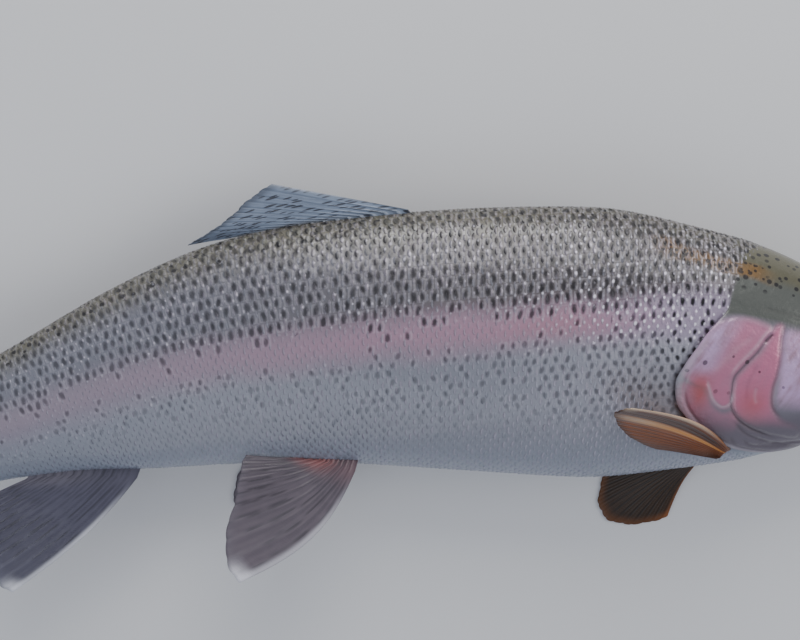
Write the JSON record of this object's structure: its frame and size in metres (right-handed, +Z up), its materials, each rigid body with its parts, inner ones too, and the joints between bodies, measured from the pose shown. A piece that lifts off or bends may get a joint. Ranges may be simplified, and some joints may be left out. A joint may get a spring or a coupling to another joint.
{
  "type": "rainbow trout",
  "caption": "Life-size rainbow trout lying still on its left side, with head, jaw, gill covers, trunk lengths, tail stem, fins and eyes as separate pieces.",
  "frame": {"origin": "on the floor under the middle of the whole fish's box", "axes": "+X towards the head, +Y towards the back, +Z up, which is the right flank's side"},
  "size_m": [0.4224, 0.1506, 0.0695],
  "materials": {
    "head_skin": "wet, smooth, olive with a lilac cheek",
    "body_skin": "wet, silvery, scaled and spotted",
    "gill_cover_skin": "wet, smooth, rose with a pearl sheen",
    "fin_skin": "wet, thin, rayed, pinkish grey",
    "amber_fin_skin": "wet, thin, rayed, amber brown",
    "eye": "clear gloss over a gold iris and a black pupil"
  },
  "bodies": {
    "root": {"head": "head_skin", "lower_jaw": "head_skin", "gill_cover_right": "gill_cover_skin", "gill_cover_left": "gill_cover_skin", "eye_right": "eye", "eye_left": "eye", "trunk_front": "body_skin", "trunk_middle": "body_skin", "trunk_rear": "body_skin", "tail_stem": "body_skin", "dorsal_fin": "fin_skin", "adipose_fin": "fin_skin", "tail_fin": "fin_skin", "anal_fin": "fin_skin", "pelvic_fin_right": "fin_skin", "pelvic_fin_left": "fin_skin", "pectoral_fin_right": "amber_fin_skin", "pectoral_fin_left": "amber_fin_skin"}
  },
  "joints": []
}
